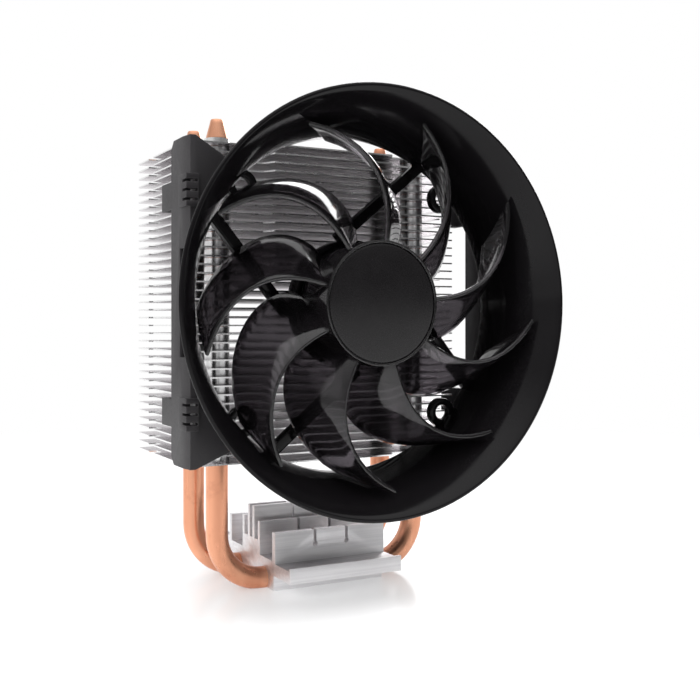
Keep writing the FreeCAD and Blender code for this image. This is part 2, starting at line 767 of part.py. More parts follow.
def make_rotor_inside(inside, skirt_inner):
    magnet_outer = f"{skirt_inner} - yoke_skirt_wall"
    magnet_front = f"{inside} + yoke_wall + magnet_gap"
    keep(turned("Yoke", [
        (inside, "boss_radius"),
        (inside, skirt_inner),
        ("yoke_back", skirt_inner),
        ("yoke_back", magnet_outer),
        (f"{inside} + yoke_wall", magnet_outer),
        (f"{inside} + yoke_wall", "boss_radius"),
    ]), "rotor_yoke")
    keep(ring("Magnet", magnet_front, f"{magnet_front} + magnet_length",
              f"{magnet_outer} - magnet_wall", magnet_outer), "magnet_ring")
    groove_back = "shaft_back - clip_from_end"
    groove_front = f"{groove_back} - clip_wall"
    keep(turned("Shaft", [
        (f"{inside} - shaft_socket", "0"),
        (f"{inside} - shaft_socket", "shaft_radius"),
        (groove_front, "shaft_radius"),
        (groove_front, "clip_groove_radius"),
        (groove_back, "clip_groove_radius"),
        (groove_back, "shaft_radius"),
        ("shaft_back", "shaft_radius"),
        ("shaft_back", "0"),
    ]), "fan_shaft")
    keep(ring("Clip", groove_front, groove_back, "clip_groove_radius", "clip_radius"), "shaft_clip")


# ---- bearing, stator and circuit board ----------------------------------------------------

def make_bearing():
    keep(ring("Sleeve", "sleeve_front", "sleeve_back", "shaft_radius + bearing_clearance",
              "bearing_radius"), "bearing_sleeve")
    keep(ring("OilRing", "sleeve_front - oil_ring_wall", "sleeve_front",
              "shaft_radius + oil_ring_clearance", "bearing_radius"), "oil_ring")
    keep(ring("BearingCap", "throat_back - bearing_cap_wall", "throat_back", "0", "bearing_radius"),
         "bearing_cap")


# the stator reaches to within an air gap of the magnet
CORE_RADIUS = "( hub_radius - hub_wall - yoke_skirt_wall - magnet_wall - air_gap )"


def pole_shape(name, front, back, outer):
    """A four-pole stator outline between two places on Y: ring, two crossed bars and heads."""
    bore = "bearing_radius + tube_wall"
    head = "pole_head_half_width"
    solids = [disc(name + "Ring", front, back, f"{bore} + core_ring_wall")]
    along = (f"0 - ( {outer} )", outer)
    narrow = ("0 - pole_width / 2", "pole_width / 2")
    for turn, x_range, z_part in (("Across", along, narrow), ("Up", narrow, along)):
        z_range = (f"fan_height + ( {z_part[0]} )", f"fan_height + ( {z_part[1]} )")
        solids.append(common(name + turn, [
            block(name + turn + "Bar", x_range, (front, back), z_range),
            disc(name + turn + "Limit", front, back, outer)]))
    rim = cut(name + "Rim", disc(name + "RimOuter", front, back, outer),
              disc(name + "RimInner", f"( {front} ) - overcut", f"( {back} ) + overcut",
                   f"{CORE_RADIUS} - pole_head_wall"))
    wide = (f"0 - {head}", head)
    cross = joined(name + "HeadCross", [
        block(name + "HeadAcross", along, (front, back),
              (f"fan_height + ( {wide[0]} )", f"fan_height + ( {wide[1]} )")),
        block(name + "HeadUp", wide, (front, back),
              (f"fan_height + ( {along[0]} )", f"fan_height + ( {along[1]} )"))])
    solids.append(common(name + "Heads", [rim, cross]))
    bore_disc = disc(name + "Bore", f"( {front} ) - overcut", f"( {back} ) + overcut", bore)
    return cut(name + "Shape", joined(name + "Solid", solids), bore_disc)


def make_stator():
    core_back = "core_front + core_length"
    wound_front = "core_front - insulator_wall"
    wound_back = f"{core_back} + insulator_wall"
    inset = f"{CORE_RADIUS} - insulator_inset"
    keep(pole_shape("Core", "core_front", core_back, CORE_RADIUS), "stator_core")
    keep(pole_shape("FrontInsulator", wound_front, "core_front", inset), "insulator_front")
    keep(pole_shape("RearInsulator", core_back, wound_back, inset), "insulator_rear")
    coils = []
    half = "( pole_width / 2 + coil_wall )"
    coil_start = "( bearing_radius + tube_wall + core_ring_wall + coil_clearance )"
    heads_inside = f"( {CORE_RADIUS} - pole_head_wall - coil_clearance )"
    coil_end = f"sqrt ( {heads_inside} ^ 2 - {half} ^ 2 )"
    rise = (f"{wound_front} - coil_rise", f"{wound_back} + coil_rise")
    for name, sign, upright in (("East", "", False), ("West", "-", False),
                                ("North", "", True), ("South", "-", True)):
        span = (coil_start, coil_end) if not sign else (f"0 - {coil_end}", f"0 - {coil_start}")
        width = (f"0 - {half}", half)
        bar = ("0 - pole_width / 2", "pole_width / 2")
        across, up = (width, span) if upright else (span, width)
        bar_across, bar_up = (bar, span) if upright else (span, bar)
        outer = block(f"Coil{name}Outer", across, rise,
                      (f"fan_height + ( {up[0]} )", f"fan_height + ( {up[1]} )"))
        core = block(f"Coil{name}Core", bar_across, (wound_front, wound_back),
                     (f"fan_height + ( {bar_up[0]} )", f"fan_height + ( {bar_up[1]} )"))
        coils.append(cut(f"Coil{name}", outer, core))
    windings = document.addObject("Part::Compound", "Coils")
    windings.Links = coils
    keep(windings, "stator_coils")


def make_board():
    front = "motor_rim_front + board_clearance"
    keep(ring("Board", front, f"{front} + board_wall", "bearing_radius + tube_wall", "board_radius"),
         "circuit_board")
    chip = block("Chip", ("0 - chip_length / 2", "chip_length / 2"), (f"{front} - chip_height", front),
                 ("fan_height + chip_from_axis", "fan_height + chip_from_axis + chip_width"))
    sensor = block("Sensor", ("chip_from_axis", "chip_from_axis + sensor_length"),
                   (f"{front} - chip_height", front),
                   ("fan_height - sensor_length / 2", "fan_height + sensor_length / 2"))
    capacitor = disc("Capacitor", f"{front} - capacitor_height", front, "capacitor_radius",
                     "0 - chip_from_axis - capacitor_radius", "0")
    parts = document.addObject("Part::Compound", "BoardParts")
    parts.Links = [chip, sensor, capacitor]
    keep(parts, "board_parts")


# ---- assembly -----------------------------------------------------------------------------

make_base()
make_heat_pipe("heatpipe_front", "0 - pipe_half_depth")
make_heat_pipe("heatpipe_rear", "pipe_half_depth")
for fin_index in range(1, FIN_COUNT + 1):
    make_fin(fin_index)
make_right_rail(make_left_rail())
make_shroud()
make_rotor_inside(*make_impeller())
make_bearing()
make_stator()
make_board()
document.recompute()

for item in document.Objects:
    if "Invalid" in item.State or "Error" in item.State:
        raise RuntimeError(f"{item.Label} failed: {item.State}")
for part in sub_parts:
    if part.Shape.isNull() or not part.Shape.isValid() or part.Shape.Volume <= 0:
        raise RuntimeError(f"{part.Label} has no valid solid")

os.makedirs("parts", exist_ok=True)
for part in sub_parts:
    part.Shape.exportStep(f"parts/{part.Label}.step")
    box = part.Shape.BoundBox
    print(f"{part.Label}: {len(part.Shape.Solids)} solid, {part.Shape.Volume:.1f} mm3, "
          f"{box.XLength:.2f} by {box.YLength:.2f} by {box.ZLength:.2f} mm")
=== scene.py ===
import math

import bpy
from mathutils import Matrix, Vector


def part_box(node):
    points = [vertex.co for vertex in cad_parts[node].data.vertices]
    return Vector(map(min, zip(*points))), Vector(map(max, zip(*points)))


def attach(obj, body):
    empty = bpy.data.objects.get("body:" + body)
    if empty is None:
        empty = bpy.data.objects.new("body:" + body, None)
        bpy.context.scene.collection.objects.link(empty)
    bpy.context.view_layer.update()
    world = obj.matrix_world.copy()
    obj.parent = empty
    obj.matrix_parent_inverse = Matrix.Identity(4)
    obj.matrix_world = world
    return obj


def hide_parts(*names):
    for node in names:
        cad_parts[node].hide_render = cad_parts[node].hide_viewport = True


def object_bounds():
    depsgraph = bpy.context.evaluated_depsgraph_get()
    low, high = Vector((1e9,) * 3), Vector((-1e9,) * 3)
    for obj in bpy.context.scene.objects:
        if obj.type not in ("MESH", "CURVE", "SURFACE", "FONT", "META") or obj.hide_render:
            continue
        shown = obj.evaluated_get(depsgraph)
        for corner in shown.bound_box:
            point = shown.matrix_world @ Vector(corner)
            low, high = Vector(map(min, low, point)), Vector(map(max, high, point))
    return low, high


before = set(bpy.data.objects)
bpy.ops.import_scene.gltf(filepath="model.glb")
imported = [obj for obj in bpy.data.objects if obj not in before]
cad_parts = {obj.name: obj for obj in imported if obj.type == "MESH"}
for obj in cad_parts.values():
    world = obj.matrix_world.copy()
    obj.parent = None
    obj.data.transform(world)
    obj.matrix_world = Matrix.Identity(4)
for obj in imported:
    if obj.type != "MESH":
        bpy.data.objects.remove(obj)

cadLow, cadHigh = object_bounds()
mm = 0.001
fullTurn = 2 * math.pi
mergeGap = 0.01 * mm
fineGap = 0.001 * mm
capLow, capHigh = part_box("hub_cap")
fanAxis = (capLow + capHigh) / 2
fanAxis.y = 0
print("frame loaded, fan axis at height", round(fanAxis.z / mm, 2), "mm")


# small helpers for edit mode

def deselectAll():
    bpy.ops.object.select_all(action="DESELECT")


def makeActive(piece):
    deselectAll()
    piece.select_set(True)
    bpy.context.view_layer.objects.active = piece


def editAll(piece):
    makeActive(piece)
    bpy.ops.object.mode_set(mode="EDIT")
    bpy.ops.mesh.select_all(action="SELECT")


def leaveEdit():
    bpy.ops.object.mode_set(mode="OBJECT")


def placeInMesh(piece):
    makeActive(piece)
    bpy.ops.object.transform_apply(location=True, rotation=True, scale=True)


def tracedLine(name, points):
    # one vertex, extruded from corner to corner
    deselectAll()
    bpy.ops.mesh.primitive_plane_add(size=mm, location=points[0])
    line = bpy.context.object
    line.name = name
    placeInMesh(line)
    editAll(line)
    bpy.ops.mesh.merge(type="CENTER")
    for here, there in zip(points, points[1:]):
        step = Vector(there) - Vector(here)
        bpy.ops.mesh.extrude_region_move(TRANSFORM_OT_translate={"value": step})
    leaveEdit()
    return line


def cleanUp(piece):
    editAll(piece)
    bpy.ops.mesh.remove_doubles(threshold=mergeGap)
    bpy.ops.mesh.normals_make_consistent(inside=False)
    leaveEdit()


def spinRound(piece, steps, centre):
    editAll(piece)
    bpy.ops.mesh.spin(steps=steps, angle=fullTurn, center=centre, axis=(0, 1, 0))
    leaveEdit()
    cleanUp(piece)


def turnedPiece(name, profile, steps, centre=fanAxis):
    # profile is a closed run of (distance from the axis, place along Y), in mm
    corners = [(centre.x + away * mm, along * mm, centre.z) for away, along in profile]
    if profile[0][0] > 0 or profile[-1][0] > 0:
        corners.append(corners[0])
    piece = tracedLine(name, corners)
    spinRound(piece, steps, centre)
    return piece


def roundEdges(piece, width, segments=2, angle=30):
    makeActive(piece)
    bevel = piece.modifiers.new("roundEdges", "BEVEL")
    bevel.width = width * mm
    bevel.segments = segments
    bevel.limit_method = "ANGLE"
    bevel.angle_limit = math.radians(angle)
    bpy.ops.object.modifier_apply(modifier=bevel.name)


def smoothShade(piece, angle=32):
    makeActive(piece)
    bpy.ops.object.shade_smooth_by_angle(angle=math.radians(angle))


def joinPieces(name, pieces):
    deselectAll()
    for piece in pieces:
        piece.select_set(True)
    bpy.context.view_layer.objects.active = pieces[0]
    bpy.ops.object.join()
    pieces[0].name = name
    return pieces[0]


def cadCopy(node, name):
    # a merged copy of a CAD node, flat faces made whole again
    piece = bpy.data.objects.new(name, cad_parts[node].data.copy())
    bpy.context.scene.collection.objects.link(piece)
    piece.data.materials.clear()
    editAll(piece)
    bpy.ops.mesh.customdata_custom_splitnormals_clear()
    bpy.ops.mesh.remove_doubles(threshold=fineGap)
    bpy.ops.mesh.dissolve_limited(angle_limit=math.radians(0.5))
    leaveEdit()
    return piece


def settle(piece, body, slot, material, *nodes):
    piece.data.materials.clear()
    piece.data.materials.append(material)
    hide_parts(*nodes)
    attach(piece, body)


# node helpers

def addNode(tree, kind, **settings):
    node = tree.nodes.new("ShaderNode" + kind)
    for name, value in settings.items():
        setattr(node, name, value)
    return node


def plug(tree, socket, value):
    if isinstance(value, bpy.types.NodeSocket):
        tree.links.new(value, socket)
    else:
        socket.default_value = value


def sums(tree, operation, first, second=0.0, clamp=False):
    node = addNode(tree, "Math", operation=operation, use_clamp=clamp)
    plug(tree, node.inputs[0], first)
    plug(tree, node.inputs[1], second)
    return node.outputs[0]


def spread(tree, value, fromLow, fromHigh, toLow, toHigh):
    node = addNode(tree, "MapRange")
    for socket, number in zip(node.inputs, (value, fromLow, fromHigh, toLow, toHigh)):
        plug(tree, socket, number)
    return node.outputs[0]


def blendColours(tree, share, first, second):
    node = addNode(tree, "Mix", data_type="RGBA")
    plug(tree, node.inputs[0], share)
    plug(tree, node.inputs[6], first)
    plug(tree, node.inputs[7], second)
    return node.outputs[2]


def noise(tree, vector, scale, detail=3.0, roughness=0.5):
    node = addNode(tree, "TexNoise")
    plug(tree, node.inputs["Vector"], vector)
    plug(tree, node.inputs["Scale"], scale)
    node.inputs["Detail"].default_value = detail
    node.inputs["Roughness"].default_value = roughness
    return node.outputs["Fac"]


def newGroup(name, inputs, outputs):
    group = bpy.data.node_groups.new(name, "ShaderNodeTree")
    for label, kind, value in inputs:
        socket = group.interface.new_socket(label, in_out="INPUT", socket_type="NodeSocket" + kind)
        if value is not None:
            socket.default_value = value
    for label, kind in outputs:
        group.interface.new_socket(label, in_out="OUTPUT", socket_type="NodeSocket" + kind)
    return group, group.nodes.new("NodeGroupInput").outputs, group.nodes.new("NodeGroupOutput").inputs


def useGroup(tree, group, **values):
    node = tree.nodes.new("ShaderNodeGroup")
    node.node_tree = group
    for name, value in values.items():
        plug(tree, node.inputs[name], value)
    return node.outputs


# effects that several finishes share

def makeGrain():
    # moulded or blasted skin: fine speckle for roughness and height
    group, given, made = newGroup("skinGrain",
                                  [("Vector", "Vector", None), ("Scale", "Float", 2500.0),
                                   ("Low", "Float", 0.3), ("High", "Float", 0.5)],
                                  [("Roughness", "Float"), ("Height", "Float")])
    fine = noise(group, given["Vector"], given["Scale"], 2.0, 0.6)
    broadScale = sums(group, "MULTIPLY", given["Scale"], 0.02)
    broad = noise(group, given["Vector"], broadScale, 3.0, 0.55)
    mixed = sums(group, "ADD", sums(group, "MULTIPLY", fine, 0.45), sums(group, "MULTIPLY", broad, 0.55))
    plug(group, made["Roughness"], spread(group, mixed, 0.35, 0.65, given["Low"], given["High"]))
    plug(group, made["Height"], fine)
    return group


def makeDrawnLines():
    # die and rolling lines: noise pulled out along one direction
    group, given, made = newGroup("drawnLines",
                                  [("Vector", "Vector", None), ("Stretch", "Vector", (1.0, 40.0, 40.0)),
                                   ("Scale", "Float", 60.0)],
                                  [("Lines", "Float"), ("Broad", "Float")])
    pulled = addNode(group, "VectorMath", operation="MULTIPLY")
    plug(group, pulled.inputs[0], given["Vector"])
    plug(group, pulled.inputs[1], given["Stretch"])
    plug(group, made["Lines"], noise(group, pulled.outputs[0], given["Scale"], 4.0, 0.65))
    slower = sums(group, "MULTIPLY", given["Scale"], 0.17)
    plug(group, made["Broad"], noise(group, pulled.outputs[0], slower, 2.0, 0.5))
    return group


def makeEdgeWear():
    # corners rubbed by handling: where the rounded normal leaves the true one, broken up by noise
    group, given, made = newGroup("edgeWear",
                                  [("Vector", "Vector", None), ("Radius", "Float", 0.4 * mm),
                                   ("Amount", "Float", 1.0)],
                                  [("Mask", "Float")])
    rounded = addNode(group, "Bevel", samples=4)
    plug(group, rounded.inputs["Radius"], given["Radius"])
    true = addNode(group, "NewGeometry")
    agree = addNode(group, "VectorMath", operation="DOT_PRODUCT")
    plug(group, agree.inputs[0], rounded.outputs[0])
    plug(group, agree.inputs[1], true.outputs["Normal"])
    edge = spread(group, agree.outputs["Value"], 0.995, 0.86, 0.0, 1.0)
    broken = spread(group, noise(group, given["Vector"], 700.0, 4.0, 0.6), 0.35, 0.6, 0.25, 1.0)
    worn = sums(group, "MULTIPLY", sums(group, "MULTIPLY", edge, broken), given["Amount"], clamp=True)
    plug(group, made["Mask"], worn)
    return group


def makeDust():
    # a thin uneven film, more of it on faces that look up
    group, given, made = newGroup("thinDust",
                                  [("Vector", "Vector", None), ("Amount", "Float", 0.3)],
                                  [("Mask", "Float")])
    true = addNode(group, "NewGeometry")
    parts = addNode(group, "SeparateXYZ")
    plug(group, parts.inputs[0], true.outputs["Normal"])
    upward = spread(group, parts.outputs["Z"], -0.2, 1.0, 0.15, 1.0)
    patchy = spread(group, noise(group, given["Vector"], 90.0, 5.0, 0.65), 0.4, 0.75, 0.0, 1.0)
    specks = spread(group, noise(group, given["Vector"], 3200.0, 1.0, 0.5), 0.52, 0.7, 0.2, 1.0)
    film = sums(group, "MULTIPLY", sums(group, "MULTIPLY", upward, patchy), specks)
    plug(group, made["Mask"], sums(group, "MULTIPLY", film, given["Amount"], clamp=True))
    return group


skinGrain = makeGrain()
drawnLines = makeDrawnLines()
edgeWear = makeEdgeWear()
thinDust = makeDust()


def startMaterial(name, metallic=0.0, **settings):
    material = bpy.data.materials.new(name)
    material.use_nodes = True
    tree = material.node_tree
    shader = tree.nodes["Principled BSDF"]
    shader.inputs["Metallic"].default_value = metallic
    for label, value in settings.items():
        shader.inputs[label.replace("_", " ")].default_value = value
    place = addNode(tree, "TexCoord").outputs["Object"]
    return material, tree, shader, place


def addBump(tree, shader, height, distance, strength=1.0):
    bump = addNode(tree, "Bump")
    bump.inputs["Strength"].default_value = strength
    bump.inputs["Distance"].default_value = distance
    plug(tree, bump.inputs["Height"], height)
    plug(tree, shader.inputs["Normal"], bump.outputs[0])


def makeFinSheet():
    # rolled sheet, its faces grey and darkened with a plum tint as painted shade, and its upright edges
    # painted bright as a painted highlight
    material, tree, shader, place = startMaterial("finSheet", 1.0)
    # pale and dull carry a darkened plum tint that is painted shade; the near-white colour is the painted
    # highlight for the fin edges
    look = {"pale": (0.66, 0.63, 0.65, 1), "dull": (0.52, 0.49, 0.51, 1), "paintedHighlight": (0.96, 0.96, 0.96, 1),
            "smooth": 0.2, "rough": 0.36}
    rolled = useGroup(tree, drawnLines, Vector=place, Stretch=(1.0, 30.0, 1.0), Scale=45.0)
    face = blendColours(tree, spread(tree, rolled["Broad"], 0.35, 0.65, 0.0, 1.0), look["dull"], look["pale"])
    # upright faces, the fin edges, take the painted highlight colour by their slope alone
    parts = addNode(tree, "SeparateXYZ")
    plug(tree, parts.inputs[0], addNode(tree, "NewGeometry").outputs["Normal"])
    paintedEdgeHighlight = spread(tree, sums(tree, "ABSOLUTE", parts.outputs["Z"]), 0.7, 0.4, 0.0, 1.0)
    plug(tree, shader.inputs["Base Color"], blendColours(tree, paintedEdgeHighlight, face, look["paintedHighlight"]))
    plug(tree, shader.inputs["Roughness"], spread(
        tree, rolled["Lines"], 0.3, 0.7, look["smooth"], look["rough"]))
    waves = noise(tree, place, 55.0, 2.0, 0.5)
    height = sums(tree, "ADD", sums(tree, "MULTIPLY", waves, 6.0),
                  sums(tree, "MULTIPLY", rolled["Lines"], 0.12))
    addBump(tree, shader, height, 0.03 * mm)
    return material


def makeBaseMetal():
    material, tree, shader, place = startMaterial("extrudedAluminium", 1.0)
    look = {"pale": (0.93, 0.92, 0.93, 1), "dull": (0.78, 0.77, 0.785, 1), "edge": (0.97, 0.97, 0.97, 1),
            "smooth": 0.42, "rough": 0.6}
    die = useGroup(tree, drawnLines, Vector=place, Stretch=(1.0, 60.0, 60.0), Scale=22.0)
    grain = useGroup(tree, skinGrain, Vector=place, Scale=2600.0, Low=look["smooth"], High=look["rough"])
    worn = useGroup(tree, edgeWear, Vector=place, Radius=0.3 * mm, Amount=0.9)
    body = blendColours(tree, spread(tree, die["Lines"], 0.3, 0.7, 0.0, 1.0), look["dull"], look["pale"])
    plug(tree, shader.inputs["Base Color"], blendColours(tree, worn["Mask"], body, look["edge"]))
    plug(tree, shader.inputs["Roughness"], sums(
        tree, "SUBTRACT", grain["Roughness"], sums(tree, "MULTIPLY", worn["Mask"], 0.12)))
    height = sums(tree, "ADD", die["Lines"], sums(tree, "MULTIPLY", grain["Height"], 0.35))
    addBump(tree, shader, height, 0.025 * mm)
    return material


def makeCopper():
    material, tree, shader, place = startMaterial("drawnCopper", 1.0)
    look = {"bright": (0.86, 0.43, 0.27, 1), "deep": (0.70, 0.31, 0.185, 1), "tarnish": (0.50, 0.20, 0.12, 1),
            "smooth": 0.24, "rough": 0.4}
    lines = useGroup(tree, drawnLines, Vector=place, Stretch=(26.0, 26.0, 1.0), Scale=34.0)
    plug(tree, shader.inputs["Roughness"], spread(
        tree, lines["Lines"], 0.3, 0.7, look["smooth"], look["rough"]))
    tint = blendColours(tree, spread(tree, lines["Broad"], 0.35, 0.65, 0.0, 1.0),
                        look["deep"], look["bright"])
    stains = spread(tree, noise(tree, place, 160.0, 5.0, 0.62), 0.55, 0.78, 0.0, 0.55)
    plug(tree, shader.inputs["Base Color"], blendColours(tree, stains, tint, look["tarnish"]))
    addBump(tree, shader, lines["Lines"], 0.012 * mm)
    return material


def makeGlossBlack():
    # polished mould finish, with cross-hatched patches at the four corners of the throat
    material, tree, shader, place = startMaterial("glossBlackMoulding", Specular_IOR_Level=0.16)
    look = {"black": (0.0045, 0.0040, 0.0046, 1), "dust": (0.16, 0.155, 0.15, 1),
            "smooth": 0.09, "rough": 0.16}
    patch = {"turn": math.radians(30), "half": math.radians(8), "fade": 0.03, "rear": -28, "front": -38,
             "pitch": 1.3, "radius": 48}
    centred = addNode(tree, "Mapping")
    centred.inputs["Location"].default_value = (0, 0, -fanAxis.z)
    plug(tree, centred.inputs["Vector"], place)
    parts = addNode(tree, "SeparateXYZ")
    plug(tree, parts.inputs[0], centred.outputs[0])
    turn = sums(tree, "ARCTAN2", parts.outputs["Z"], parts.outputs["X"])
    fromUpright = sums(tree, "ABSOLUTE", sums(tree, "SUBTRACT", sums(tree, "ABSOLUTE", turn), math.pi / 2))
    fromMiddle = sums(tree, "ABSOLUTE", sums(tree, "SUBTRACT", fromUpright, patch["turn"]))
    onPatch = spread(tree, fromMiddle, patch["half"], patch["half"] - patch["fade"], 0.0, 1.0)
    inBand = sums(tree, "MULTIPLY",
                  spread(tree, parts.outputs["Y"], patch["rear"] * mm, (patch["rear"] - 1) * mm, 0.0, 1.0),
                  spread(tree, parts.outputs["Y"], patch["front"] * mm, (patch["front"] + 1) * mm, 0.0, 1.0))
    inside = sums(tree, "MULTIPLY", onPatch, inBand)
    around = sums(tree, "MULTIPLY", turn, patch["radius"] * mm)
    ridges = []
    for lean in (1.0, -1.0):
        along = sums(tree, "ADD", around, sums(tree, "MULTIPLY", parts.outputs["Y"], lean))
        wave = sums(tree, "SINE", sums(tree, "MULTIPLY", along, fullTurn / (patch["pitch"] * mm)))
        ridges.append(spread(tree, wave, 0.2, 0.9, 0.0, 1.0))
    hatch = sums(tree, "MULTIPLY", sums(tree, "MAXIMUM", ridges[0], ridges[1]), inside)
    grain = useGroup(tree, skinGrain, Vector=place, Scale=1600.0, Low=look["smooth"], High=look["rough"])
    dust = useGroup(tree, thinDust, Vector=place, Amount=0.025)
    plug(tree, shader.inputs["Base Color"], blendColours(tree, dust["Mask"], look["black"], look["dust"]))
    rough = sums(tree, "ADD", grain["Roughness"], sums(tree, "MULTIPLY", dust["Mask"], 0.8))
    plug(tree, shader.inputs["Roughness"], rough)
    height = sums(tree, "ADD", sums(tree, "MULTIPLY", noise(tree, place, 70.0, 1.0, 0.4), 0.5),
                  sums(tree, "MULTIPLY", hatch, 0.3))
    addBump(tree, shader, height, 0.08 * mm)
    return material


def makeSmokedBlade():
    # smoke-tinted clear plastic, so that the fins show darkly through each blade
    material, tree, shader, place = startMaterial("smokedBlade", Transmission_Weight=0.94, IOR=1.49)
    look = {"black": (0.078, 0.070, 0.078, 1), "dust": (0.17, 0.165, 0.16, 1), "smooth": 0.04, "rough": 0.11}
    grain = useGroup(tree, skinGrain, Vector=place, Scale=1400.0, Low=look["smooth"], High=look["rough"])
    dust = useGroup(tree, thinDust, Vector=place, Amount=0.05)
    plug(tree, shader.inputs["Base Color"], blendColours(tree, dust["Mask"], look["black"], look["dust"]))
    plug(tree, shader.inputs["Roughness"], sums(
        tree, "ADD", grain["Roughness"], sums(tree, "MULTIPLY", dust["Mask"], 0.7)))
    addBump(tree, shader, noise(tree, place, 95.0, 2.0, 0.4), 0.05 * mm)
    return material


def makeMattBlack():
    material, tree, shader, place = startMaterial("mattBlackMoulding", Specular_IOR_Level=0.3)
    look = {"black": (0.021, 0.0195, 0.0212, 1), "rubbed": (0.085, 0.082, 0.085, 1),
            "dust": (0.22, 0.215, 0.21, 1), "smooth": 0.46, "rough": 0.62}
    grain = useGroup(tree, skinGrain, Vector=place, Scale=3000.0, Low=look["smooth"], High=look["rough"])
    worn = useGroup(tree, edgeWear, Vector=place, Radius=0.35 * mm, Amount=0.45)
    dust = useGroup(tree, thinDust, Vector=place, Amount=0.12)
    skin = blendColours(tree, worn["Mask"], look["black"], look["rubbed"])
    plug(tree, shader.inputs["Base Color"], blendColours(tree, dust["Mask"], skin, look["dust"]))
    plug(tree, shader.inputs["Roughness"], sums(
        tree, "SUBTRACT", grain["Roughness"], sums(tree, "MULTIPLY", worn["Mask"], 0.12)))
    addBump(tree, shader, grain["Height"], 0.05 * mm, 0.8)
    return material


def makePlain(name, metallic, first, second, smooth, rough, scale, depth, gloss=0.5):
    material, tree, shader, place = startMaterial(name, metallic, Specular_IOR_Level=gloss)
    grain = useGroup(tree, skinGrain, Vector=place, Scale=scale, Low=smooth, High=rough)
    patches = spread(tree, noise(tree, place, scale * 0.12, 4.0, 0.6), 0.35, 0.65, 0.0, 1.0)
    plug(tree, shader.inputs["Base Color"], blendColours(tree, patches, (*first, 1), (*second, 1)))
    plug(tree, shader.inputs["Roughness"], grain["Roughness"])
    addBump(tree, shader, grain["Height"], depth * mm)
    return material


finSheet = makeFinSheet()
baseMetal = makeBaseMetal()
copper = makeCopper()
glossBlack = makeGlossBlack()
smokedBlade = makeSmokedBlade()
mattBlack = makeMattBlack()
satinBlack = makePlain("satinCap", 0.0, (0.0042, 0.0036, 0.0042), (0.0056, 0.0049, 0.0056),
                       0.24, 0.32, 2200.0, 0.01, gloss=0.34)
steel = makePlain("groundSteel", 1.0, (0.62, 0.62, 0.63), (0.72, 0.72, 0.73), 0.16, 0.3, 1800.0, 0.01)
ferrite = makePlain("ferrite", 0.0, (0.035, 0.035, 0.038), (0.06, 0.058, 0.06), 0.55, 0.75, 2400.0, 0.06)
bronze = makePlain("sinteredBronze", 1.0, (0.62, 0.42, 0.22), (0.72, 0.52, 0.30), 0.35, 0.55, 3200.0, 0.05)
seal = makePlain("nitrileSeal", 0.0, (0.03, 0.03, 0.032), (0.05, 0.05, 0.05), 0.6, 0.8, 2000.0, 0.03)
insulator = makePlain("ivoryInsulator", 0.0, (0.72, 0.70, 0.62), (0.80, 0.78, 0.70), 0.4, 0.55, 1500.0, 0.02)
winding = makePlain("enamelledWire", 1.0, (0.62, 0.24, 0.10), (0.78, 0.36, 0.16), 0.22, 0.36, 1500.0, 0.05)
board = makePlain("boardLaminate", 0.0, (0.02, 0.11, 0.05), (0.03, 0.15, 0.07), 0.3, 0.42, 2600.0, 0.02)
chip = makePlain("chipEpoxy", 0.0, (0.02, 0.02, 0.022), (0.04, 0.04, 0.042), 0.45, 0.6, 2600.0, 0.03)
stackSteel = makePlain("coreLaminations", 1.0, (0.40, 0.40, 0.42), (0.52, 0.52, 0.54),
                       0.3, 0.45, 2000.0, 0.03)
print("finishes made")

# camera first, then the rest of the studio at the end
viewPoint = {"place": (-0.1248, -0.2640, 0.0718), "turn": -27.9, "lens": 51.5, "shift": -0.0361,
             "nearest": 0.01}
bpy.ops.object.camera_add(location=viewPoint["place"],
                          rotation=(math.pi / 2, 0, math.radians(viewPoint["turn"])))
camera = bpy.context.object
camera.data.lens = viewPoint["lens"]
camera.data.shift_y = viewPoint["shift"]
camera.data.clip_start = viewPoint["nearest"]
bpy.context.scene.camera = camera


# bell, throat, struts and motor base

bellSize = {
    "throatRadius": 44.5, "throatStraight": 1.0, "seatRadius": 46.2, "seatLength": 6.5,
    "rimInner": 53.4, "rimRounding": 0.6, "wall": 1.2, "arcSteps": 18, "turnSteps": 144,
    "strutOffset": 15.4, "strutSide": 3.0, "strutAngle": 39.5,
    "eyeletPlace": 30.0, "eyeletRadius": 4.0, "eyeletHole": 2.0, "eyeletDepth": 2.0,
    "motorRadius": 17.0, "motorWall": 2.7, "motorRim": 1.2, "motorRimFront": -30.4,
    "tubeInner": 3.0, "tubeOuter": 4.3, "tubeFront": -42.3, "shoulder": 5.6, "shoulderFront": -29.3,
}


def bellProfile(size, back, front, rimRadius):
    start = back - size["throatStraight"]
    depth = start - front
    rise = size["rimInner"] - size["throatRadius"]
    bend = (depth ** 2 + rise ** 2) / (2 * rise)
    middle = size["throatRadius"] + bend

    def flare(radius, along):
        return middle - math.sqrt(radius ** 2 - (along - start) ** 2)

    profile = [(size["throatRadius"], back)]
    for step in range(size["arcSteps"] + 1):
        along = start - depth * step / size["arcSteps"]
        profile.append((flare(bend, along), along))
    rounding = size["rimRounding"]
    for step in range(4):
        angle = math.pi / 2 * step / 3
        profile.append((rimRadius - rounding + rounding * math.sin(angle),
                        front + rounding - rounding * math.cos(angle)))
    seatFront = back - size["seatLength"]
    rearRun = seatFront - (front + rounding)
    for step in range(1, size["arcSteps"]):
        along = front + rounding + rearRun * step / size["arcSteps"]
        outer = flare(bend - size["wall"], along)
        if outer < rimRadius:
            profile.append((outer, along))
    profile.append((size["seatRadius"], seatFront))
    profile.append((size["seatRadius"], back))
    return profile


